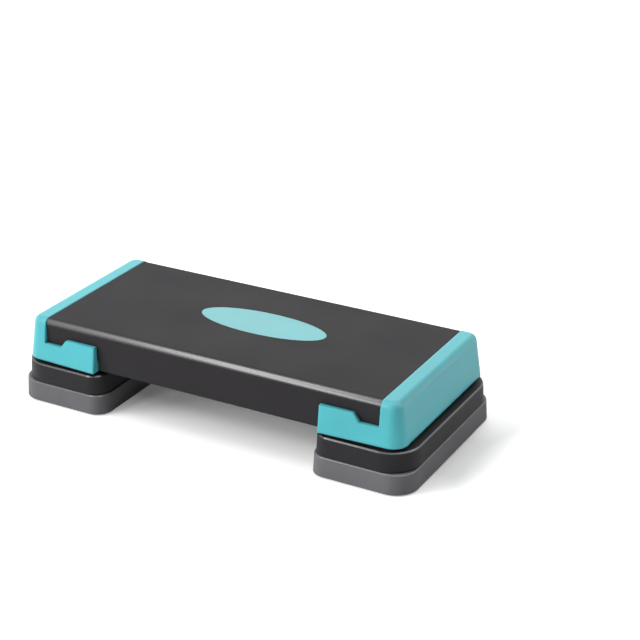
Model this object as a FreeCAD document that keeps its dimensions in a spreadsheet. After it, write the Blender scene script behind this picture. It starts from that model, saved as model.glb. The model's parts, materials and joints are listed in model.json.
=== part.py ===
import FreeCAD, Part
import math
import os
import re
import Sketcher

# Aerobic step platform: a deck on two end caps, each cap on an upper riser and a base riser.
# X runs along the deck, -Y is the front, Z is up; the origin is on the floor under the middle.
# The right-hand pieces are drawn in place and the left-hand ones mirror them.

# Driving dimensions in millimetres; a name that ends in share is a plain ratio
SIZES = {
    # Whole platform, over the base risers
    "overall_length": 680,
    "overall_width": 308,
    # Stack of blocks at each end
    "foot_drop": 2,
    "base_height": 31,
    "riser_height": 30,
    "plinth_height": 4,
    "cap_height": 66.5,
    "leg_length": 158,
    "base_ledge": 2.5,
    "wall_draft_share": 0.055,
    "base_inner_round": 25,
    "base_outer_round": 36,
    "riser_inner_round": 25,
    "riser_outer_round": 48,
    "base_edge_bevel": 1.5,
    "riser_edge_bevel": 2,
    # Moulded walls
    "wall": 3,
    "plate": 3,
    "rib": 2.5,
    "rib_bite_share": 0.27,
    "corner_cut_share": 0.8,
    "rim_clear": 1,
    "overrun": 5,
    "slack_share": 0.001,
    # Spigot that each riser puts into the block above it
    "spigot_inner_inset": 24,
    "spigot_outer_setback": 34,
    "spigot_side_setback": 54,
    "spigot_height": 11,
    "spigot_draft_share": 0.09,
    "spigot_corner_cut": 8,
    "spigot_clear": 0.8,
    "socket_depth": 13,
    # Plinth on the upper riser
    "plinth_inner_inset": 17,
    "plinth_outer_setback": 22,
    "plinth_side_setback": 14,
    "plinth_corner_cut": 14,
    # Rubber feet and the posts that hold them
    "foot_width": 16,
    "foot_seat": 3,
    "foot_chamfer": 1,
    "foot_clear": 0.2,
    "post_wall": 3,
    "foot_inner_inset": 33,
    "foot_outer_setback": 43,
    "foot_side_setback": 36,
    # End cap
    "cap_inner_inset": 12.5,
    "cap_ledge": 14.5,
    "cap_inner_ledge": 2.5,
    "cap_outer_ledge": 8,
    "cap_draft_share": 0.14,
    "cap_inner_round": 1.5,
    "cap_outer_round": 24,
    "cap_edge_round": 10,
    "tab_rise": 41,
    "tab_length": 54,
    "tab_slope": 10,
    "tab_round": 3,
    "lobe_rise": 28,
    "end_cell_count": 5,
    # Deck
    "deck_end_setback": 51.5,
    "deck_side_setback": 16.5,
    "deck_plate": 4,
    "deck_wall": 3.5,
    "skirt_lift": 1,
    "deck_edge_round": 10,
    "deck_rib_depth": 24,
    "cross_rib_count": 7,
    "long_rib_count": 4,
    "seam_gap": 0.5,
    # Screws that hold a cap to the deck
    "screw_radius": 2,
    "screw_length": 16,
    "screw_head_radius": 4,
    "screw_head_height": 2.4,
    "slot_length": 4.6,
    "slot_width": 1,
    "slot_depth": 1.5,
    "screw_hole_clear": 0.4,
    "pilot_clear": 0.15,
    "pilot_spare": 2,
    "boss_wall": 3,
    "screw_spread_share": 0.8,
    # Inlay in the deck's top
    "inlay_half_length": 108.5,
    "inlay_half_width": 38.5,
    "inlay_depth": 1.5,
    "inlay_clear": 0.3,
    "inlay_shift_along": 13,
    "inlay_shift_back": 9,
}

doc = FreeCAD.newDocument("aerobic_step_platform")
sheet = doc.addObject("Spreadsheet::Sheet", "Sizes")
for row, (name, size) in enumerate(SIZES.items(), start=1):
    sheet.set(f"A{row}", name)
    sheet.set(f"B{row}", str(size))
    sheet.setAlias(f"B{row}", name)
doc.recompute()


# Expressions on the sheet

def in_sheet(expression):
    """The expression with every size name pointed at its cell."""
    return re.sub(r"[a-z]\w*", lambda word: "Sizes." + word.group(), expression)


def number(expression):
    """The present value of an expression in size names."""
    return float(sheet.evalExpression(in_sheet(expression)))


def bind(item, prop, expression):
    """Ties a property to an expression in size names."""
    item.setExpression(prop, in_sheet(expression))


# Heights of the stack, from the floor up
BASE_RIM = "foot_drop"
BASE_TOP = f"{BASE_RIM} + base_height"
RISER_RIM = f"{BASE_TOP} + foot_drop"
RISER_TOP = f"{RISER_RIM} + riser_height"
PLINTH_TOP = f"{RISER_TOP} + plinth_height"
CAP_RIM = f"{PLINTH_TOP} + foot_drop"
CAP_CEILING = f"{CAP_RIM} + socket_depth"
DECK_SEAT = f"{CAP_CEILING} + plate"
TAB_TOP = f"{CAP_RIM} + tab_rise"
LOBE_BOTTOM = f"{CAP_RIM} + lobe_rise"
DECK_TOP = f"{CAP_RIM} + cap_height"
DECK_CEILING = f"{DECK_TOP} - deck_plate"
SKIRT_BOTTOM = f"{CAP_RIM} + skirt_lift"

# Places along and across the right-hand end
END = "overall_length / 2"
SIDE = "overall_width / 2"
DECK_END = f"{END} - deck_end_setback"
DECK_SIDE = f"{SIDE} - deck_side_setback"
CAP_SEAM = f"{DECK_END} + seam_gap"
LEG_INNER = f"{END} - leg_length"
CAP_OUTER = f"{END} - cap_ledge"
CAP_INNER = f"{LEG_INNER} + cap_inner_inset"
SPIGOT_INNER = f"{LEG_INNER} + spigot_inner_inset"
SPIGOT_OUTER = f"{END} - spigot_outer_setback"
SPIGOT_SIDE = f"{SIDE} - spigot_side_setback"
FOOT_PLACES = [
    (end_word, side_word, x, f"{sign} * ({SIDE} - foot_side_setback)")
    for end_word, x in (
        ("inner", f"{LEG_INNER} + foot_inner_inset"),
        ("outer", f"{END} - foot_outer_setback"),
    )
    for side_word, sign in (("front", "-1"), ("back", "1"))
]
SCREW_PLACES = [
    (f"({CAP_INNER} + {CAP_SEAM}) / 2", f"{sign} * ({SPIGOT_SIDE}) * screw_spread_share")
    for sign in ("-1", "1")
]
SOCKET_MIDDLE = "spigot_clear + rib / 2"

# Places of the ribs under a block, as shares of the spigot's length and half-width
LONG_RIB_SHARES = (0.24, 0.76)
CROSS_RIB_SHARES = (-0.9, -0.3, 0.3, 0.9)
LONG_RIB_PLACES = [
    f"{SPIGOT_INNER} + ({SPIGOT_OUTER} - ({SPIGOT_INNER})) * {share}" for share in LONG_RIB_SHARES
]
CROSS_RIB_PLACES = [f"({SPIGOT_SIDE}) * {share}" for share in CROSS_RIB_SHARES]
RIB_INSET = "wall * (1 - rib_bite_share)"
NOTHING = "0 * overrun"


# Sketches and features

def sketch_on(body, name, plane, offset):
    """An empty sketch on one of the body's own origin planes, moved out by an expression."""
    sketch = body.newObject("Sketcher::SketchObject", name)
    support = next(item for item in body.Origin.OriginFeatures if item.Role == plane)
    sketch.AttachmentSupport = [(support, "")]
    sketch.MapMode = "FlatFace"
    bind(sketch, ".AttachmentOffset.Base.z", offset)
    return sketch


def constrain(sketch, constraints):
    """Adds pairs of a constraint and the expression that drives it, or None."""
    indices = sketch.addConstraint([constraint for constraint, expression in constraints])
    for index, (constraint, expression) in zip(indices, constraints):
        if expression:
            bind(sketch, f"Constraints[{index}]", expression)


def draw_outline(sketch, corners):
    """A closed outline through corners (x, y, radius); a radius of None leaves the corner sharp."""
    count = len(corners)
    places = [FreeCAD.Vector(number(x), number(y), 0) for x, y, radius in corners]
    radii = [number(radius) if radius else 0 for x, y, radius in corners]
    arrivals, departures, middles, turns = [], [], [], []
    for index, place in enumerate(places):
        back = (places[index - 1] - place).normalize()
        ahead = (places[(index + 1) % count] - place).normalize()
        half_angle = back.getAngle(ahead) / 2
        reach = radii[index] / math.tan(half_angle)
        inward = (back + ahead).normalize()
        arrivals.append(place + back * reach)
        departures.append(place + ahead * reach)
        middles.append(place + inward * (radii[index] / math.sin(half_angle) - radii[index]))
        turns.append(back.cross(ahead).z < 0)
    marks = [sketch.addGeometry(Part.Point(place), True) for place in places]
    runs = [
        sketch.addGeometry(Part.LineSegment(departures[index], arrivals[(index + 1) % count]))
        for index in range(count)
    ]
    constraints = []
    for index, (x, y, radius) in enumerate(corners):
        mark, run_in, run_out = marks[index], runs[index - 1], runs[index]
        constraints.append((Sketcher.Constraint("DistanceX", -1, 1, mark, 1, places[index].x), x))
        constraints.append((Sketcher.Constraint("DistanceY", -1, 1, mark, 1, places[index].y), y))
        if not radius:
            constraints.append((Sketcher.Constraint("Coincident", run_in, 2, mark, 1), None))
            constraints.append((Sketcher.Constraint("Coincident", run_out, 1, mark, 1), None))
            continue
        arc = sketch.addGeometry(Part.Arc(arrivals[index], middles[index], departures[index]))
        first, last = (1, 2) if turns[index] else (2, 1)
        constraints.append((Sketcher.Constraint("PointOnObject", mark, 1, run_in), None))
        constraints.append((Sketcher.Constraint("PointOnObject", mark, 1, run_out), None))
        constraints.append((Sketcher.Constraint("Tangent", run_in, 2, arc, first), None))
        constraints.append((Sketcher.Constraint("Tangent", run_out, 1, arc, last), None))
        constraints.append((Sketcher.Constraint("Radius", arc, radii[index]), radius))
    constrain(sketch, constraints)


def draw_rectangle(sketch, x_low, x_high, y_low, y_high):
    """A sharp rectangle between expressions."""
    draw_outline(sketch, [
        (x_low, y_low, None), (x_high, y_low, None), (x_high, y_high, None), (x_low, y_high, None),
    ])


def draw_square(sketch, x, y, width):
    """A square about a point."""
    half = f"({width}) / 2"
    draw_rectangle(sketch, f"{x} - {half}", f"{x} + {half}", f"{y} - {half}", f"{y} + {half}")


def draw_circle(sketch, x, y, radius):
    """A circle about a point, all by expressions."""
    centre = FreeCAD.Vector(number(x), number(y), 0)
    circle = sketch.addGeometry(Part.Circle(centre, FreeCAD.Vector(0, 0, 1), number(radius)))
    constrain(sketch, [
        (Sketcher.Constraint("DistanceX", -1, 1, circle, 3, centre.x), x),
        (Sketcher.Constraint("DistanceY", -1, 1, circle, 3, centre.y), y),
        (Sketcher.Constraint("Radius", circle, number(radius)), radius),
    ])


def draw_ellipse(sketch, x, y, half_length, half_width):
    """An ellipse with its long axis along X."""
    centre = FreeCAD.Vector(number(x), number(y), 0)
    tip = centre + FreeCAD.Vector(number(half_length), 0, 0)
    flank = centre + FreeCAD.Vector(0, number(half_width), 0)
    ellipse = sketch.addGeometry(Part.Ellipse(tip, flank, centre))
    sketch.exposeInternalGeometry(ellipse)
    long_axis, short_axis = ellipse + 1, ellipse + 2
    constrain(sketch, [
        (Sketcher.Constraint("Horizontal", long_axis), None),
        (Sketcher.Constraint("DistanceX", -1, 1, ellipse, 3, centre.x), x),
        (Sketcher.Constraint("DistanceY", -1, 1, ellipse, 3, centre.y), y),
        (Sketcher.Constraint("Distance", long_axis, 2 * number(half_length)), f"2 * ({half_length})"),
        (Sketcher.Constraint("Distance", short_axis, 2 * number(half_width)), f"2 * ({half_width})"),
    ])


def extrude(body, kind, name, sketch, length, upward=True, both_ways=False):
    """A Pad or a Pocket of a sketch; a pocket runs against the sketch's normal unless it is turned round."""
    feature = body.newObject(f"PartDesign::{kind}", name)
    feature.Profile = sketch
    bind(feature, "Length", length)
    if both_ways:
        feature.SideType = "Symmetric"
    else:
        feature.Reversed = upward == (kind == "Pocket")
    return feature


def hollow_between(body, name, plan_at, low, high):
    """A hollow that runs evenly from its plan at one height to its plan at another."""
    sections = []
    for word, height in (("low", low), ("high", high)):
        sketch = sketch_on(body, f"{name}_{word}", "XY_Plane", height)
        draw_outline(sketch, plan_at(height))
        sections.append(sketch)
    feature = body.newObject("PartDesign::SubtractiveLoft", name)
    feature.Profile = sections[0]
    feature.Sections = [sections[1]]
    feature.Ruled = True
    return feature


def repeat_along(body, feature, axis, pitch, count):
    """A row of equal features along one of the body's own axes."""
    row = body.newObject("PartDesign::LinearPattern", f"{feature.Name}_row")
    row.Originals = [feature]
    row.Direction = (next(item for item in body.Origin.OriginFeatures if item.Role == axis), [""])
    bind(row, "Length", f"({pitch}) * ({count} - 1)")
    bind(row, "Occurrences", count)
    body.Tip = row
    return row


def names_where(word, pieces, accept):
    """Names of the edges or faces that a test of their bounding box accepts."""
    return [f"{word}{index}" for index, piece in enumerate(pieces, start=1) if accept(piece.BoundBox)]


def between(low, high):
    """A test for edges and faces that run from one height to another, or lie level if both are the same."""
    bottom, top, slack = number(low), number(high), number("overrun * slack_share")
    return lambda box: abs(box.ZMin - bottom) < slack and abs(box.ZMax - top) < slack


def walls_beyond(place, low, high):
    """A test for upright faces between two heights that reach beyond a place along X."""
    full_height = between(low, high)
    limit = number(f"{place} + overrun")
    return lambda box: full_height(box) and box.XMax > limit


def dress_edges(body, kind, name, accept):
    """A Fillet or a Chamfer on the edges of the body's present tip that a test accepts."""
    doc.recompute()
    base = body.Tip
    feature = body.newObject(f"PartDesign::{kind}", name)
    feature.Base = (base, names_where("Edge", base.Shape.Edges, accept))
    return feature


def round_edges(body, name, radius, accept):
    """Rounds the edges that a test accepts."""
    bind(dress_edges(body, "Fillet", name, accept), "Radius", radius)


def chamfer_edges(body, name, size, accept):
    """Bevels the edges that a test accepts."""
    bind(dress_edges(body, "Chamfer", name, accept), "Size", size)


def lean_faces(body, name, hinge, share, accept, hollow=False):
    """Leans upright faces inwards going up, about the level face at a height, on a solid or in a hollow."""
    doc.recompute()
    base = body.Tip
    feature = body.newObject("PartDesign::Draft", name)
    feature.Base = (base, names_where("Face", base.Shape.Faces, accept))
    level_face = names_where("Face", base.Shape.Faces, between(hinge, hinge))[0]
    feature.NeutralPlane = (base, [level_face])
    feature.Reversed = hollow
    feature.setExpression("Angle", f"atan({in_sheet(share)})")
    return feature


def new_body(label):
    """A body whose label names its file."""
    body = doc.addObject("PartDesign::Body", label)
    body.Label = label
    return body


# Plans of the blocks at the right-hand end

def plan(inner, outer, inner_side, outer_side, inner_round, outer_round):
    """Corners of a block, counter-clockwise from the inner front one."""
    return [
        (inner, f"-({inner_side})", inner_round),
        (outer, f"-({outer_side})", outer_round),
        (outer, outer_side, outer_round),
        (inner, inner_side, inner_round),
    ]


def cut_plan(inner, outer, inner_side, outer_side, inner_cut, outer_cut):
    """The same with each corner cut straight across; a cut of None leaves the corner as it is."""
    half = []
    for x, inward, y, cut in ((inner, "+", inner_side, inner_cut), (outer, "-", outer_side, outer_cut)):
        if cut is None:
            half.append([(x, y)])
        else:
            half.append([(f"{x} {inward} ({cut})", y), (x, f"{y} - ({cut})")])
    inner_back, outer_back = half
    back = outer_back[::-1] + inner_back
    front = [(x, f"-({y})") for x, y in back[::-1]]
    return [(x, y, None) for x, y in front + back]


def riser_sides(ledge, rim, inset):
    """Both ends and both sides of a riser at its rim; the walls keep one lean from the base's rim up."""
    lean = f"(({rim}) - ({BASE_RIM})) * wall_draft_share + {inset}"
    side = f"{SIDE} - ({lean})"
    return f"{LEG_INNER} - {ledge} + {lean}", f"{END} - ({lean})", side, side


def riser_plan(word, ledge, rim):
    """Plan of the base or the upper riser at its rim."""
    return plan(*riser_sides(ledge, rim, NOTHING), f"{word}_inner_round", f"{word}_outer_round")


def riser_hollow_plan(word, ledge, rim):
    """Plan of the hollow in a riser at its rim."""
    cuts = [f"({word}_{end_word}_round - wall) * corner_cut_share" for end_word in ("inner", "outer")]
    return cut_plan(*riser_sides(ledge, rim, "wall"), *cuts)


def spigot_plan(grow):
    """Plan of the spigot at its foot, grown by a margin all round."""
    side = f"{SPIGOT_SIDE} + {grow}"
    return cut_plan(
        f"{SPIGOT_INNER} - ({grow})", f"{SPIGOT_OUTER} + {grow}", side, side,
        "spigot_corner_cut", "spigot_corner_cut")


def plinth_plan(inset):
    """Plan of the upper riser's plinth."""
    side = f"{SIDE} - plinth_side_setback - {inset}"
    return cut_plan(
        f"{LEG_INNER} + plinth_inner_inset + {inset}", f"{END} - plinth_outer_setback - {inset}", side, side,
        "plinth_corner_cut", "plinth_corner_cut")


def cap_sides(inset):
    """Inner end, outer end and sides of the end cap at its rim; the sides close in towards the outer end."""
    return (
        f"{CAP_INNER} + {inset}", f"{CAP_OUTER} - {inset}",
        f"{SIDE} - cap_inner_ledge - {inset}", f"{SIDE} - cap_outer_ledge - {inset}")


def cap_outer_at(height):
    """How far out the cap's end wall stands at a height."""
    return f"{CAP_OUTER} - (({height}) - ({CAP_RIM})) * cap_draft_share"


def cap_side_at(place):
    """How far out the cap's front or back wall stands at its rim, at a place along X."""
    taper = f"(cap_outer_ledge - cap_inner_ledge) / ({CAP_OUTER} - ({CAP_INNER}))"
    return f"{SIDE} - cap_inner_ledge - (({place}) - ({CAP_INNER})) * {taper}"


def end_hollow_plan(height):
    """Plan of the hollow behind the cap's end wall at a height."""
    lean = f"wall + (({height}) - ({CAP_RIM})) * cap_draft_share"
    side = f"{SIDE} - cap_outer_ledge - ({lean})"
    cut = f"(cap_outer_round - ({lean})) * corner_cut_share"
    return cut_plan(f"{CAP_SEAM} + wall", f"{CAP_OUTER} - ({lean})", side, side, None, cut)


# Details that several blocks share

def add_block(body, corners, rim, top, share, upright_up_to=NOTHING):
    """A solid block on a plan, its walls leaning in going up; walls up to a place along X stay upright."""
    sketch = sketch_on(body, "block_plan", "XY_Plane", rim)
    draw_outline(sketch, corners)
    extrude(body, "Pad", "block", sketch, f"{top} - ({rim})")
    lean_faces(body, "block_lean", rim, share, walls_beyond(upright_up_to, rim, top))


def add_cavity(body, corners, rim, ceiling, share, upright_up_to=NOTHING):
    """The open underside of a block, its walls leaning with the outer ones."""
    sketch = sketch_on(body, "cavity_plan", "XY_Plane", rim)
    draw_outline(sketch, corners)
    extrude(body, "Pocket", "cavity", sketch, f"{ceiling} - ({rim})")
    lean_faces(body, "cavity_lean", rim, share, walls_beyond(upright_up_to, rim, ceiling), hollow=True)


def add_spigot(body, seat):
    """The plug on a riser's top."""
    top = f"{seat} + spigot_height"
    sketch = sketch_on(body, "spigot_plan", "XY_Plane", seat)
    draw_outline(sketch, spigot_plan(NOTHING))
    extrude(body, "Pad", "spigot", sketch, "spigot_height")
    lean_faces(body, "spigot_lean", seat, "spigot_draft_share", between(seat, top))


def hollow_spigot(body, seat):
    """The hollow inside the plug, open to the cavity below it."""
    start = f"{seat} - plate"
    sketch = sketch_on(body, "spigot_hollow_plan", "XY_Plane", start)
    draw_outline(sketch, spigot_plan("-(wall + spigot_height * spigot_draft_share)"))
    extrude(body, "Pocket", "spigot_hollow", sketch, "spigot_height")


def add_socket(body, rim, ceiling):
    """The wall that hangs from a block's ceiling and takes the spigot from below."""
    sketch = sketch_on(body, "socket_plan", "XY_Plane", f"{rim} + rim_clear")
    draw_outline(sketch, spigot_plan("spigot_clear + rib"))
    draw_outline(sketch, spigot_plan("spigot_clear"))
    extrude(body, "Pad", "socket", sketch, f"{ceiling} - ({rim}) - rim_clear + plate / 2")


def add_foot_posts(body, rim, ceiling):
    """The four posts that hang from a block's ceiling to its rim, with a seat for a rubber foot in each."""
    posts = sketch_on(body, "post_plan", "XY_Plane", rim)
    seats = sketch_on(body, "foot_seat_plan", "XY_Plane", rim)
    for end_word, side_word, x, y in FOOT_PLACES:
        draw_square(posts, x, y, "foot_width + 2 * (foot_clear + post_wall)")
        draw_square(seats, x, y, "foot_width + 2 * foot_clear")
    extrude(body, "Pad", "posts", posts, f"{ceiling} - ({rim}) + plate / 2")
    extrude(body, "Pocket", "foot_seats", seats, "foot_seat")


def thin(place):
    """The two sides of a rib about a place."""
    return f"{place} - rib / 2", f"{place} + rib / 2"


def side_strips(place, side):
    """The front and back ribs from the socket's wall to the block's side, at a place along X."""
    start = f"{SPIGOT_SIDE} + {SOCKET_MIDDLE}"
    return [(*thin(place), start, side), (*thin(place), f"-({side})", f"-({start})")]


def add_ribs(body, name, rim, ceiling, strips):
    """Flat ribs under a block's ceiling; each strip is x_low, x_high, y_low, y_high."""
    sketch = sketch_on(body, f"{name}_plan", "XY_Plane", f"{rim} + rim_clear")
    for strip in strips:
        draw_rectangle(sketch, *strip)
    extrude(body, "Pad", name, sketch, f"{ceiling} - ({rim}) - rim_clear + plate / 2")


# Sub-parts

def base_riser(label):
    """Grey block on the floor, open underneath, with the spigot that the upper riser sits over."""
    body = new_body(label)
    ceiling = f"{BASE_TOP} - plate"
    add_block(body, riser_plan("base", "base_ledge", BASE_RIM), BASE_RIM, BASE_TOP, "wall_draft_share")
    chamfer_edges(body, "top_edge", "base_edge_bevel", between(BASE_TOP, BASE_TOP))
    add_spigot(body, BASE_TOP)
    add_cavity(body, riser_hollow_plan("base", "base_ledge", BASE_RIM), BASE_RIM, ceiling, "wall_draft_share")
    hollow_spigot(body, BASE_TOP)
    inner, outer, side, side = riser_sides("base_ledge", BASE_RIM, RIB_INSET)
    add_ribs(body, "cross_ribs", BASE_RIM, ceiling, [
        (inner, outer, *thin(place)) for place in CROSS_RIB_PLACES
    ])
    add_ribs(body, "long_ribs", BASE_RIM, ceiling, [
        (*thin(place), f"-({side})", side) for place in LONG_RIB_PLACES
    ])
    add_foot_posts(body, BASE_RIM, ceiling)
    return body


def upper_riser(label):
    """Black block between base and cap: a socket below, a plinth and a spigot above."""
    body = new_body(label)
    ceiling = f"{RISER_TOP} - plate"
    plinth_ceiling = f"{PLINTH_TOP} - plate"
    add_block(body, riser_plan("riser", NOTHING, RISER_RIM), RISER_RIM, RISER_TOP, "wall_draft_share")
    chamfer_edges(body, "top_edge", "riser_edge_bevel", between(RISER_TOP, RISER_TOP))
    plinth = sketch_on(body, "plinth_plan", "XY_Plane", RISER_TOP)
    draw_outline(plinth, plinth_plan(NOTHING))
    extrude(body, "Pad", "plinth", plinth, "plinth_height")
    add_spigot(body, PLINTH_TOP)
    add_cavity(body, riser_hollow_plan("riser", NOTHING, RISER_RIM), RISER_RIM, ceiling, "wall_draft_share")
    under_plinth = sketch_on(body, "plinth_hollow_plan", "XY_Plane", ceiling)
    draw_outline(under_plinth, plinth_plan("wall"))
    extrude(body, "Pocket", "plinth_hollow", under_plinth, "plinth_height")
    hollow_spigot(body, PLINTH_TOP)
    add_socket(body, RISER_RIM, plinth_ceiling)
    inner, outer, side, side = riser_sides(NOTHING, RISER_RIM, RIB_INSET)
    ends = (
        (inner, f"{SPIGOT_INNER} - ({SOCKET_MIDDLE})"),
        (f"{SPIGOT_OUTER} + {SOCKET_MIDDLE}", outer),
    )
    strips = [(*end, *thin(place)) for end in ends for place in CROSS_RIB_PLACES]
    for place in LONG_RIB_PLACES:
        strips += side_strips(place, side)
    add_ribs(body, "ribs", RISER_RIM, ceiling, strips)
    add_foot_posts(body, RISER_RIM, plinth_ceiling)
    return body


def end_cap(label):
    """Turquoise leg: a stepped wall round the deck's end, a strip over it, and a socket underneath."""
    body = new_body(label)
    outer_plan = plan(*cap_sides(NOTHING), None, "cap_outer_round")
    add_block(body, outer_plan, CAP_RIM, DECK_TOP, "cap_draft_share", upright_up_to=CAP_INNER)
    round_edges(body, "top_edge", "cap_edge_round", walls_beyond(CAP_INNER, DECK_TOP, DECK_TOP))
    # Space that the deck's end takes up
    deck_space = sketch_on(body, "deck_space_plan", "XY_Plane", DECK_SEAT)
    side = f"{DECK_SIDE} + seam_gap"
    draw_rectangle(deck_space, f"{CAP_INNER} - overrun", CAP_SEAM, f"-({side})", side)
    extrude(body, "Pocket", "deck_space", deck_space, f"{DECK_TOP} - ({DECK_SEAT}) + overrun")
    # Stepped top edge of the front and back walls
    above = f"{DECK_TOP} + overrun"
    outline = sketch_on(body, "tab_outline", "XZ_Plane", NOTHING)
    slope_top = f"{CAP_INNER} + tab_length"
    draw_outline(outline, [
        (f"{CAP_INNER} - overrun", TAB_TOP, None),
        (slope_top, TAB_TOP, "tab_round"),
        (f"{slope_top} + tab_slope", LOBE_BOTTOM, "tab_round"),
        (CAP_SEAM, LOBE_BOTTOM, None),
        (CAP_SEAM, above, None),
        (f"{CAP_INNER} - overrun", above, None),
    ])
    extrude(body, "Pocket", "tab_step", outline, "overall_width + overrun", both_ways=True)
    reach = number(f"{CAP_INNER} + overrun")
    proud = number(f"{side} + overrun")
    half_tab = number("tab_rise / 2")
    round_edges(body, "tab_edge", "cap_inner_round", lambda box: (
        box.XMin < reach and box.ZLength > half_tab and max(box.YMax, -box.YMin) > proud))
    # Hollow underside
    inner_wall = f"{CAP_INNER} + wall"
    cavity_plan = cut_plan(*cap_sides("wall"), None, "(cap_outer_round - wall) * corner_cut_share")
    add_cavity(body, cavity_plan, CAP_RIM, CAP_CEILING, "cap_draft_share", upright_up_to=inner_wall)
    # Hollow behind the end wall, split into cells by upright ribs
    cell_top = f"{DECK_TOP} - 2 * plate"
    hollow_between(body, "end_hollow", end_hollow_plan, CAP_CEILING, cell_top)
    rib_start = f"{CAP_SEAM} + wall / 2"
    rib_top = f"{cell_top} + plate / 4"
    pitch = f"2 * ({SIDE} - cap_outer_ledge - wall) / end_cell_count"
    first_rib = f"{pitch} * (end_cell_count - 2) / 2 + rib / 2"
    rib_outline = sketch_on(body, "end_rib_outline", "XZ_Plane", first_rib)
    draw_outline(rib_outline, [
        (rib_start, CAP_CEILING, None),
        (f"{cap_outer_at(CAP_CEILING)} - {RIB_INSET}", CAP_CEILING, None),
        (f"{cap_outer_at(rib_top)} - {RIB_INSET}", rib_top, None),
        (rib_start, rib_top, None),
    ])
    end_rib = extrude(body, "Pad", "end_rib", rib_outline, "rib", upward=False)
    repeat_along(body, end_rib, "Y_Axis", pitch, "end_cell_count - 1")
    add_socket(body, CAP_RIM, CAP_CEILING)
    strips = []
    for place in LONG_RIB_PLACES:
        strips += side_strips(place, f"{cap_side_at(place)} - {RIB_INSET}")
    add_ribs(body, "side_ribs", CAP_RIM, CAP_CEILING, strips)
    add_foot_posts(body, CAP_RIM, CAP_CEILING)
    holes = sketch_on(body, "screw_hole_plan", "XY_Plane", CAP_CEILING)
    for x, y in SCREW_PLACES:
        draw_circle(holes, x, y, "screw_radius + screw_hole_clear")
    extrude(body, "Pocket", "screw_holes", holes, "plate + overrun")
    return body


def deck_inside(side, foot, top):
    """Section across the deck's inside, with both upper corners cut straight under the rounded edges."""
    cut = "(deck_edge_round - deck_wall) * corner_cut_share"
    right = [(side, foot), (side, f"{top} - {cut}"), (f"{side} - {cut}", top)]
    left = [(f"-({y})", z) for y, z in right[::-1]]
    return [(y, z, None) for y, z in right + left]


def even_pitch(half_span, count):
    """Pitch of ribs that part a span evenly."""
    return f"2 * ({half_span}) / ({count} + 1)"


def deck(label):
    """Black top: a plate with a skirt, a grid of ribs underneath and the bosses that the screws go into."""
    body = new_body(label)
    section = sketch_on(body, "section", "YZ_Plane", NOTHING)
    draw_outline(section, [
        (f"-({DECK_SIDE})", SKIRT_BOTTOM, None), (DECK_SIDE, SKIRT_BOTTOM, None),
        (DECK_SIDE, DECK_TOP, "deck_edge_round"), (f"-({DECK_SIDE})", DECK_TOP, "deck_edge_round"),
    ])
    extrude(body, "Pad", "plate_and_skirt", section, f"2 * ({DECK_END})", both_ways=True)
    inside_end = f"{DECK_END} - deck_wall"
    inside_side = f"{DECK_SIDE} - deck_wall"
    below = f"{SKIRT_BOTTOM} - overrun"
    hollow = sketch_on(body, "hollow_section", "YZ_Plane", NOTHING)
    draw_outline(hollow, deck_inside(inside_side, below, DECK_CEILING))
    extrude(body, "Pocket", "hollow", hollow, f"2 * ({inside_end})", both_ways=True)
    # Skirt cut away where the deck sits in its caps
    notch = sketch_on(body, "notch_outline", "XZ_Plane", NOTHING)
    notch_start = f"{CAP_INNER} - seam_gap"
    draw_rectangle(notch, notch_start, f"{DECK_END} + overrun", below, DECK_SEAT)
    draw_rectangle(notch, f"-({DECK_END}) - overrun", f"-({notch_start})", below, DECK_SEAT)
    extrude(body, "Pocket", "end_notches", notch, "overall_width + overrun", both_ways=True)
    # Stiffening ribs under the plate
    rib_foot = f"{DECK_CEILING} - deck_rib_depth"
    rib_top = f"{DECK_CEILING} + deck_plate / 4"
    cross_pitch = even_pitch(inside_end, "cross_rib_count")
    cross_section = sketch_on(body, "cross_rib_section", "YZ_Plane", f"{cross_pitch} - ({inside_end})")
    draw_outline(cross_section, deck_inside(f"{inside_side} + deck_wall / 4", rib_foot, rib_top))
    cross_rib = extrude(body, "Pad", "cross_rib", cross_section, "rib", both_ways=True)
    repeat_along(body, cross_rib, "X_Axis", cross_pitch, "cross_rib_count")
    long_pitch = even_pitch(inside_side, "long_rib_count")
    long_plan = sketch_on(body, "long_rib_plan", "XY_Plane", rib_foot)
    long_end = f"{inside_end} + deck_wall / 2"
    draw_rectangle(long_plan, f"-({long_end})", long_end, *thin(f"{long_pitch} - ({inside_side})"))
    long_rib = extrude(body, "Pad", "long_rib", long_plan, f"{rib_top} - ({rib_foot})")
    repeat_along(body, long_rib, "Y_Axis", long_pitch, "long_rib_count")
    # Screw bosses that reach down to the caps
    bosses = sketch_on(body, "boss_plan", "XY_Plane", DECK_SEAT)
    pilots = sketch_on(body, "pilot_plan", "XY_Plane", DECK_SEAT)
    for x, y in SCREW_PLACES:
        for side in ("1", "-1"):
            draw_square(bosses, f"{side} * ({x})", y, "2 * (screw_radius + pilot_clear + boss_wall)")
            draw_circle(pilots, f"{side} * ({x})", y, "screw_radius + pilot_clear")
    extrude(body, "Pad", "bosses", bosses, f"{DECK_CEILING} - ({DECK_SEAT}) + deck_plate / 4")
    extrude(body, "Pocket", "pilot_holes", pilots, "screw_length - plate + pilot_spare")
    # Recess for the inlay
    recess = sketch_on(body, "inlay_recess_plan", "XY_Plane", DECK_TOP)
    draw_ellipse(recess, "inlay_shift_along", "inlay_shift_back", "inlay_half_length", "inlay_half_width")
    extrude(body, "Pocket", "inlay_recess", recess, "inlay_depth", upward=False)
    return body


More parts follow.
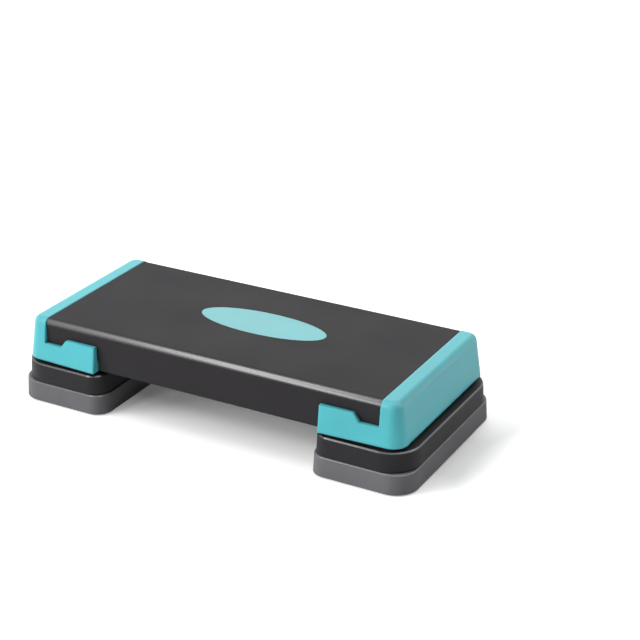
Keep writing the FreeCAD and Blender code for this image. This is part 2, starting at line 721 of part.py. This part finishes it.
def deck_inlay(label):
    """Turquoise ellipse that lies in the recess, flush with the deck's top."""
    body = new_body(label)
    sketch = sketch_on(body, "inlay_plan", "XY_Plane", f"{DECK_TOP} - inlay_depth")
    draw_ellipse(sketch, "inlay_shift_along", "inlay_shift_back",
                 "inlay_half_length - inlay_clear", "inlay_half_width - inlay_clear")
    extrude(body, "Pad", "inlay_plate", sketch, "inlay_depth")
    return body


def rubber_foot(label, rim, x, y):
    """Rubber pad pressed up into its post, with a chamfered edge below."""
    body = new_body(label)
    bottom = f"{rim} - foot_drop"
    sketch = sketch_on(body, "foot_plan", "XY_Plane", bottom)
    draw_square(sketch, NOTHING, NOTHING, "foot_width")
    extrude(body, "Pad", "pad", sketch, "foot_drop + foot_seat")
    chamfer_edges(body, "lower_edge", "foot_chamfer", between(bottom, bottom))
    bind(body, ".Placement.Base.x", x)
    bind(body, ".Placement.Base.y", y)
    return body


def put(item, x, y, z):
    """Places an object by expressions."""
    for axis, place in zip("xyz", (x, y, z)):
        bind(item, f".Placement.Base.{axis}", place)


def cylinder(name, radius, height, x, y, z):
    """An upright cylinder on its lower face's middle."""
    item = doc.addObject("Part::Cylinder", name)
    bind(item, "Radius", radius)
    bind(item, "Height", height)
    put(item, x, y, z)
    return item


def screw_slot(name, length, width, x, y, z):
    """One bar of the cross in a screw's head, about the head's middle."""
    item = doc.addObject("Part::Box", name)
    bind(item, "Length", length)
    bind(item, "Width", width)
    bind(item, "Height", "slot_depth")
    put(item, f"{x} - {length} / 2", f"{y} - {width} / 2", z)
    return item


def joined(kind, name, base, tool):
    """A Fuse or a Cut of two objects."""
    item = doc.addObject(f"Part::{kind}", name)
    item.Base = base
    item.Tool = tool
    return item


def cap_screws(label):
    """The screws of one cap, heads up against its ceiling, each with a cross slot for the driver."""
    screws = []
    underside = f"{CAP_CEILING} - screw_head_height"
    for index, (x, y) in enumerate(SCREW_PLACES, start=1):
        head = cylinder(f"screw_head_{index}", "screw_head_radius", "screw_head_height", x, y, underside)
        shank = cylinder(f"screw_shank_{index}", "screw_radius", "screw_length", x, y, CAP_CEILING)
        along = screw_slot(f"slot_along_{index}", "slot_length", "slot_width", x, y, underside)
        across = screw_slot(f"slot_across_{index}", "slot_width", "slot_length", x, y, underside)
        blank = joined("Fuse", f"screw_blank_{index}", head, shank)
        cross = joined("Fuse", f"cross_slot_{index}", along, across)
        screws.append(joined("Cut", f"screw_{index}", blank, cross))
    group = doc.addObject("Part::Compound", label)
    group.Label = label
    group.Links = screws
    return group


def mirrored(label, source):
    """The left-hand twin of a right-hand piece."""
    twin = doc.addObject("Part::Mirroring", label)
    twin.Label = label
    twin.Source = source
    twin.Normal = FreeCAD.Vector(1, 0, 0)
    return twin


# Assembly
sub_parts = [deck("deck"), deck_inlay("deck_inlay")]
for word, make, rim in (
    ("end_cap", end_cap, CAP_RIM),
    ("upper_riser", upper_riser, RISER_RIM),
    ("base_riser", base_riser, BASE_RIM),
):
    block = make(f"right_{word}")
    sub_parts.append(block)
    sub_parts.append(mirrored(f"left_{word}", block))
    for hand, side in (("left", "-1"), ("right", "1")):
        for end_word, side_word, x, y in FOOT_PLACES:
            foot_name = f"{hand}_{word}_foot_{side_word}_{end_word}"
            sub_parts.append(rubber_foot(foot_name, rim, f"{side} * ({x})", y))
screws = cap_screws("right_cap_screws")
sub_parts.append(screws)
sub_parts.append(mirrored("left_cap_screws", screws))
doc.recompute()

# Nothing is written unless every object is sound
failed = [
    f"{item.Name}: {item.getStatusString()}"
    for item in doc.Objects
    if {"Invalid", "Error"} & set(item.State)
]
if failed:
    raise RuntimeError("; ".join(failed))
for part in sub_parts:
    if part.Shape.isNull() or not part.Shape.isValid():
        raise RuntimeError(f"{part.Label} has no sound shape")

os.makedirs("parts", exist_ok=True)
for part in sub_parts:
    part.Shape.exportStep(f"parts/{part.Label}.step")
    print(f"{part.Label}: {len(part.Shape.Solids)} solid, {part.Shape.Volume / 1000:.1f} cm3")
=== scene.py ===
import json
import math

import bpy
from mathutils import Matrix, Vector


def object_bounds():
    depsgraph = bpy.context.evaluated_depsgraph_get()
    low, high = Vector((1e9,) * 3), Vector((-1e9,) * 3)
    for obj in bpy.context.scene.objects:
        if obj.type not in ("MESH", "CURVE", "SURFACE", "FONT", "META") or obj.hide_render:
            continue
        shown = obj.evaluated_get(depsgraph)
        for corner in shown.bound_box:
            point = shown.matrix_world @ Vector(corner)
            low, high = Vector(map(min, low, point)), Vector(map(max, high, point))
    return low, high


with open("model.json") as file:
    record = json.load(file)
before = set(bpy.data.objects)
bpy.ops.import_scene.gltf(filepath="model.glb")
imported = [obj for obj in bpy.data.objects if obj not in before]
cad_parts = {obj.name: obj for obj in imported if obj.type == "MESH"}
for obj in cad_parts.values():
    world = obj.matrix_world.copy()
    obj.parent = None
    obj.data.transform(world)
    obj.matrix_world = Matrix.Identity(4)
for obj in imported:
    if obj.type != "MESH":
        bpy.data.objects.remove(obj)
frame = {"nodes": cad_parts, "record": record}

cad_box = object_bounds()
MM = 0.001

# Camera, fitted to the photograph's 640 x 640 frame; degrees, with the azimuth counted from the front
CAMERA_AZIMUTH = 28.70
CAMERA_ELEVATION = 24.28
CAMERA_DISTANCE = 2577.99 * MM
CAMERA_TARGET = Vector((62.6, 99.21, 118.52)) * MM
CAMERA_REACH = 48
FOCAL_PIXELS = 1646.58
FRAME_PIXELS = 640
SENSOR_WIDTH = 36

# Colours, linear; the worn and dusty ones are for rubbed edges and for specks in the grain
DECK_BLACK = (0.026, 0.024, 0.026, 1)
DECK_WORN = (0.085, 0.082, 0.088, 1)
INLAY_LIGHT = (0.16, 0.49, 0.52, 1)
INLAY_WORN = (0.38, 0.74, 0.74, 1)
CAP_TURQUOISE = (0.070, 0.47, 0.525, 1)
CAP_WORN = (0.22, 0.66, 0.68, 1)
RISER_BLACK = (0.018, 0.018, 0.020, 1)
RISER_WORN = (0.09, 0.09, 0.095, 1)
BASE_GREY = (0.150, 0.147, 0.158, 1)
BASE_WORN = (0.26, 0.26, 0.27, 1)
RUBBER_BLACK = (0.012, 0.012, 0.012, 1)
RUBBER_DUSTY = (0.05, 0.048, 0.045, 1)
ZINC = (0.52, 0.53, 0.55, 1)
ZINC_DULL = (0.30, 0.31, 0.33, 1)
FLOOR_WHITE = (0.9, 0.9, 0.9, 1)
WHITE = (1, 1, 1, 1)

# Moulded surfaces: broad clouds of tone, scuffs, and grain with paler specks; scales are per metre
CLOUD_SCALE = 9
CLOUD_DETAIL = 4
CLOUD_RANGE = (0.3, 0.7)
CLOUD_SHADE_SHARE = 0.82
CLOUD_ROUGHNESS_SWING = 0.05
SCUFF_SCALE = 140
SCUFF_DETAIL = 3
SCUFF_RANGE = (0.35, 0.7)
GRAIN_DETAIL = 2
GRAIN_STRENGTH = 0.5
SPECK_RANGE = (0.62, 0.8)
SPECK_SHARE = 0.35

# Edges: wear where the normal departs from its softened one, polish where a normal faces partly up
BEVEL_SAMPLES = 6
WEAR_RADIUS = 1 * MM
WEAR_LIKENESS = (0.995, 0.80)
POLISH_START = (0.08, 0.4)
POLISH_END = (0.8, 0.98)
POLISH_ROUGHNESS = 0.24
POLISH_IOR = 1.9

# Plated surfaces: clouds and fine scratches; scales are per metre
PLATING_SCALE = 600
PLATING_DETAIL = 4
PLATING_ROUGHNESS = (0.25, 0.5)
SCRATCH_SCALE = 4000
SCRATCH_DETAIL = 2
SCRATCH_STRENGTH = 0.3
SCRATCH_DEPTH = 0.05 * MM

# Light: a long box for the key, and suns by direction towards them, strength and angle in degrees
WORLD_AMBIENT = 0.12
KEY_POWER = 37
KEY_SIZE = (0.5, 4.0)
KEY_AIM = Vector((30, -134, 134)) * MM
KEY_TOWARDS = Vector((-0.46, -0.66, 0.59)).normalized()
KEY_LENGTHWAYS = Vector((0, 0.80, 0.60))
KEY_DISTANCE = 2.4
SUNS = {
    "top": ((0.10, 0.20, 0.97), 1.3, 60),
    "right": ((0.80, 0.35, 0.48), 0.4, 40),
    "front_left": ((-0.75, -0.55, 0.36), 1.9, 30),
    "back_left": ((-0.44, 0.80, 0.41), 0.9, 50),
}
MATT_SUNS = {"front_left"}

# Floor: a glow lifts it to white, least under the object, which paints shade there; the fade of that
# painted shade is counted from the object's box
FLOOR_HALF_SIZE = 12
FLOOR_ROUGHNESS = 0.8
FLOOR_PAINTED_SHADE_FADE = {"X": (0.03, 0.085), "Y": (-0.10, 0.03)}
FLOOR_GLOW_WITH_PAINTED_SHADE = (0.10, 0.50)
FOOTPRINT = cad_box[1][:2]


# Node building

def add_node(tree, kind, **settings):
    """A new shader node with its properties set."""
    node = tree.nodes.new(kind)
    for name, value in settings.items():
        setattr(node, name, value)
    return node


def set_inputs(node, values):
    """Constant values on a node's own sockets."""
    for name, value in values.items():
        node.inputs[name].default_value = value


def place_on_object(tree):
    """The point that is shaded, in the object's own axes."""
    return add_node(tree, "ShaderNodeTexCoord").outputs["Object"]


def noise(tree, where, scale, detail):
    """The grey output of a noise texture."""
    texture = add_node(tree, "ShaderNodeTexNoise")
    set_inputs(texture, {"Scale": scale, "Detail": detail})
    tree.links.new(where, texture.inputs["Vector"])
    return texture.outputs["Fac"]


def spread(tree, value, old_range, new_range=(0, 1)):
    """A value mapped evenly from one range to another, and held inside it."""
    ranged = add_node(tree, "ShaderNodeMapRange")
    set_inputs(ranged, {
        "From Min": old_range[0],
        "From Max": old_range[1],
        "To Min": new_range[0],
        "To Max": new_range[1],
    })
    tree.links.new(value, ranged.inputs["Value"])
    return ranged.outputs["Result"]


def combine(tree, operation, first, second):
    """Two values joined by a maths operation and held between 0 and 1."""
    maths = add_node(tree, "ShaderNodeMath", operation=operation, use_clamp=True)
    tree.links.new(first, maths.inputs[0])
    tree.links.new(second, maths.inputs[1])
    return maths.outputs["Value"]


def blend_colours(tree, share, first, second):
    """A colour between two, by a share; each is a socket or a constant colour."""
    mix = add_node(tree, "ShaderNodeMix", data_type="RGBA")
    sockets = [socket for socket in mix.inputs if socket.type == "RGBA"]
    for socket, colour in zip(sockets, (first, second)):
        if isinstance(colour, bpy.types.NodeSocket):
            tree.links.new(colour, socket)
        else:
            socket.default_value = colour
    tree.links.new(share, mix.inputs["Factor"])
    return next(socket for socket in mix.outputs if socket.type == "RGBA")


def softened_normal(tree, radius):
    """The normal of a surface whose edges are rounded to a radius."""
    rounded = add_node(tree, "ShaderNodeBevel", samples=BEVEL_SAMPLES)
    set_inputs(rounded, {"Radius": radius})
    return rounded.outputs["Normal"]


def add_bump(tree, height, strength, depth):
    """A bump node that follows a height."""
    bump = add_node(tree, "ShaderNodeBump")
    set_inputs(bump, {"Strength": strength, "Distance": depth})
    tree.links.new(height, bump.inputs["Height"])
    return bump


def edge_share(tree):
    """How near a point is to a sharp edge: 0 on flats, 1 on the edge."""
    plain = add_node(tree, "ShaderNodeNewGeometry")
    likeness = add_node(tree, "ShaderNodeVectorMath", operation="DOT_PRODUCT")
    tree.links.new(softened_normal(tree, WEAR_RADIUS), likeness.inputs[0])
    tree.links.new(plain.outputs["Normal"], likeness.inputs[1])
    return spread(tree, likeness.outputs["Value"], WEAR_LIKENESS)


def polish_share(tree):
    """1 on rounded and bevelled edges that face halfway up, 0 on level and upright faces."""
    plain = add_node(tree, "ShaderNodeNewGeometry")
    parts = add_node(tree, "ShaderNodeSeparateXYZ")
    tree.links.new(plain.outputs["Normal"], parts.inputs["Vector"])
    rise = spread(tree, parts.outputs["Z"], POLISH_START)
    fall = spread(tree, parts.outputs["Z"], POLISH_END, (1, 0))
    return combine(tree, "MULTIPLY", rise, fall)


# Materials

def new_material(name):
    """A plain material, its node tree and its shader."""
    material = bpy.data.materials.new(name)
    material.use_nodes = True
    tree = material.node_tree
    return material, tree, tree.nodes["Principled BSDF"]


def moulded(
    name, colour, worn, *,
    roughness, specular, grain_depth, grain_scale, edge_radius, wear, polish,
):
    """Moulded plastic or rubber: fine grain, cloudy tone, paler rubbed edges and polished rounded edges."""
    material, tree, shader = new_material(name)
    set_inputs(shader, {
        "Specular IOR Level": specular,
        "Coat Roughness": POLISH_ROUGHNESS,
        "Coat IOR": POLISH_IOR,
    })
    where = place_on_object(tree)
    clouds = noise(tree, where, CLOUD_SCALE, CLOUD_DETAIL)
    scuffs = noise(tree, where, SCUFF_SCALE, SCUFF_DETAIL)
    grain = noise(tree, where, grain_scale, GRAIN_DETAIL)

    shade = tuple(part * CLOUD_SHADE_SHARE for part in colour[:3]) + (1,)
    toned = blend_colours(tree, spread(tree, clouds, CLOUD_RANGE), shade, colour)
    specks = spread(tree, grain, SPECK_RANGE, (0, SPECK_SHARE))
    speckled = blend_colours(tree, specks, toned, worn)
    scuffed = spread(tree, scuffs, SCUFF_RANGE, (0, wear))
    rubbed = combine(tree, "MULTIPLY", edge_share(tree), scuffed)
    tree.links.new(blend_colours(tree, rubbed, speckled, worn), shader.inputs["Base Color"])

    swing = (roughness - CLOUD_ROUGHNESS_SWING, roughness + CLOUD_ROUGHNESS_SWING)
    tree.links.new(spread(tree, clouds, CLOUD_RANGE, swing), shader.inputs["Roughness"])
    polished = spread(tree, polish_share(tree), (0, 1), (0, polish))
    tree.links.new(polished, shader.inputs["Coat Weight"])

    bump = add_bump(tree, grain, GRAIN_STRENGTH, grain_depth)
    tree.links.new(softened_normal(tree, edge_radius), bump.inputs["Normal"])
    for socket in ("Normal", "Coat Normal"):
        tree.links.new(bump.outputs["Normal"], shader.inputs[socket])
    return material


def plated(name):
    """Zinc-plated steel with a cloudy, finely scratched surface."""
    material, tree, shader = new_material(name)
    set_inputs(shader, {"Metallic": 1.0})
    where = place_on_object(tree)
    clouds = noise(tree, where, PLATING_SCALE, PLATING_DETAIL)
    tree.links.new(blend_colours(tree, clouds, ZINC_DULL, ZINC), shader.inputs["Base Color"])
    tree.links.new(spread(tree, clouds, CLOUD_RANGE, PLATING_ROUGHNESS), shader.inputs["Roughness"])
    scratches = noise(tree, where, SCRATCH_SCALE, SCRATCH_DETAIL)
    bump = add_bump(tree, scratches, SCRATCH_STRENGTH, SCRATCH_DEPTH)
    tree.links.new(bump.outputs["Normal"], shader.inputs["Normal"])
    return material


SLOT_MATERIALS = {
    "deck_plastic": moulded(
        "deck_black", DECK_BLACK, DECK_WORN,
        roughness=0.65, specular=0.10, grain_depth=0.1 * MM, grain_scale=900,
        edge_radius=1.2 * MM, wear=0.35, polish=1.0,
    ),
    "inlay_plastic": moulded(
        "inlay_light", INLAY_LIGHT, INLAY_WORN,
        roughness=0.5, specular=0.4, grain_depth=0.05 * MM, grain_scale=1500,
        edge_radius=0.4 * MM, wear=0.4, polish=0.0,
    ),
    "cap_plastic": moulded(
        "cap_turquoise", CAP_TURQUOISE, CAP_WORN,
        roughness=0.42, specular=0.25, grain_depth=0.06 * MM, grain_scale=1400,
        edge_radius=5.0 * MM, wear=0.45, polish=0.5,
    ),
    "riser_plastic": moulded(
        "riser_black", RISER_BLACK, RISER_WORN,
        roughness=0.55, specular=0.15, grain_depth=0.06 * MM, grain_scale=1400,
        edge_radius=1.0 * MM, wear=0.4, polish=0.9,
    ),
    "base_plastic": moulded(
        "base_grey", BASE_GREY, BASE_WORN,
        roughness=0.6, specular=0.1, grain_depth=0.08 * MM, grain_scale=1200,
        edge_radius=1.0 * MM, wear=0.4, polish=0.6,
    ),
    "foot_rubber": moulded(
        "foot_rubber", RUBBER_BLACK, RUBBER_DUSTY,
        roughness=0.85, specular=0.3, grain_depth=0.1 * MM, grain_scale=2500,
        edge_radius=0.6 * MM, wear=0.6, polish=0.0,
    ),
    "screw_steel": plated("screw_zinc"),
}
for part in frame["record"]["subparts"]:
    node = frame["nodes"][part["node"]]
    node.data.materials.clear()
    node.data.materials.append(SLOT_MATERIALS[part["material_slot"]])


# Studio

def add_object(name, data):
    """A new object in the scene."""
    thing = bpy.data.objects.new(name, data)
    bpy.context.scene.collection.objects.link(thing)
    return thing


def white_to_eye(tree):
    """1 for rays from the camera, a mirror or glass, else 0."""
    path = add_node(tree, "ShaderNodeLightPath")
    mirrored = combine(tree, "MAXIMUM", path.outputs["Is Glossy Ray"], path.outputs["Is Transmission Ray"])
    return combine(tree, "MAXIMUM", path.outputs["Is Camera Ray"], mirrored)


def build_world():
    """An even grey light that shows as white."""
    world = bpy.data.worlds.new("studio")
    bpy.context.scene.world = world
    world.use_nodes = True
    tree = world.node_tree
    background = tree.nodes["Background"]
    set_inputs(background, {"Color": WHITE})
    strength = spread(tree, white_to_eye(tree), (0, 1), (WORLD_AMBIENT, 1))
    tree.links.new(strength, background.inputs["Strength"])


def beyond_painted_shade(tree):
    """Painted shade on the floor: 0 under the object, 1 past the fade at the edges of its footprint."""
    parts = add_node(tree, "ShaderNodeSeparateXYZ")
    tree.links.new(place_on_object(tree), parts.inputs["Vector"])
    shares = []
    for (axis, (near, far)), half in zip(FLOOR_PAINTED_SHADE_FADE.items(), FOOTPRINT):
        size = add_node(tree, "ShaderNodeMath", operation="ABSOLUTE")
        tree.links.new(parts.outputs[axis], size.inputs[0])
        shares.append(spread(tree, size.outputs["Value"], (half + near, half + far)))
    return combine(tree, "MAXIMUM", *shares)


def build_floor():
    """A pale floor that takes the shadow, with a glow that shows it white and is weakest under the object,
    painting shade there.
    """
    half = FLOOR_HALF_SIZE
    corners = [(-half, -half, 0), (half, -half, 0), (half, half, 0), (-half, half, 0)]
    mesh = bpy.data.meshes.new("floor")
    mesh.from_pydata(corners, [], [(0, 1, 2, 3)])
    floor = add_object("floor", mesh)
    material, tree, shader = new_material("floor_white")
    set_inputs(shader, {
        "Base Color": FLOOR_WHITE,
        "Roughness": FLOOR_ROUGHNESS,
        "Specular IOR Level": 0.0,
        "Emission Color": WHITE,
    })
    # The glow is least under the object: painted shade on the floor
    glow_with_painted_shade = spread(tree, beyond_painted_shade(tree), (0, 1), FLOOR_GLOW_WITH_PAINTED_SHADE)
    glow = combine(tree, "MULTIPLY", white_to_eye(tree), glow_with_painted_shade)
    tree.links.new(glow, shader.inputs["Emission Strength"])
    mesh.materials.append(material)


def build_key():
    """A long soft box in front on the left, which draws the highlight along the deck's front edge."""
    box = bpy.data.lights.new("key", "AREA")
    box.energy = KEY_POWER
    box.shape = "RECTANGLE"
    box.size, box.size_y = KEY_SIZE
    key = add_object("key", box)
    sideways = KEY_LENGTHWAYS.cross(KEY_TOWARDS).normalized()
    lengthways = KEY_TOWARDS.cross(sideways)
    axes = Matrix((sideways, lengthways, KEY_TOWARDS)).transposed()
    key.matrix_world = Matrix.Translation(KEY_AIM + KEY_TOWARDS * KEY_DISTANCE) @ axes.to_4x4()


def build_suns():
    """Broad, soft suns; the matt ones light surfaces without a highlight."""
    for name, (towards, strength, angle) in SUNS.items():
        glow = bpy.data.lights.new(name, "SUN")
        glow.energy = strength
        glow.angle = math.radians(angle)
        sun = add_object(name, glow)
        sun.rotation_euler = Vector(towards).to_track_quat("Z", "Y").to_euler()
        sun.visible_glossy = name not in MATT_SUNS


def build_camera():
    """The camera at the photograph's place and angle."""
    azimuth = math.radians(CAMERA_AZIMUTH)
    elevation = math.radians(CAMERA_ELEVATION)
    back = Vector((
        math.sin(azimuth) * math.cos(elevation),
        -math.cos(azimuth) * math.cos(elevation),
        math.sin(elevation),
    ))
    lens = bpy.data.cameras.new("camera")
    lens.sensor_width = SENSOR_WIDTH
    lens.lens = FOCAL_PIXELS / FRAME_PIXELS * SENSOR_WIDTH
    lens.clip_end = CAMERA_REACH
    camera = add_object("camera", lens)
    camera.location = CAMERA_TARGET + back * CAMERA_DISTANCE
    camera.rotation_euler = back.to_track_quat("Z", "Y").to_euler()
    bpy.context.scene.camera = camera


build_world()
build_floor()
build_key()
build_suns()
build_camera()
bpy.context.scene.view_settings.view_transform = "Standard"
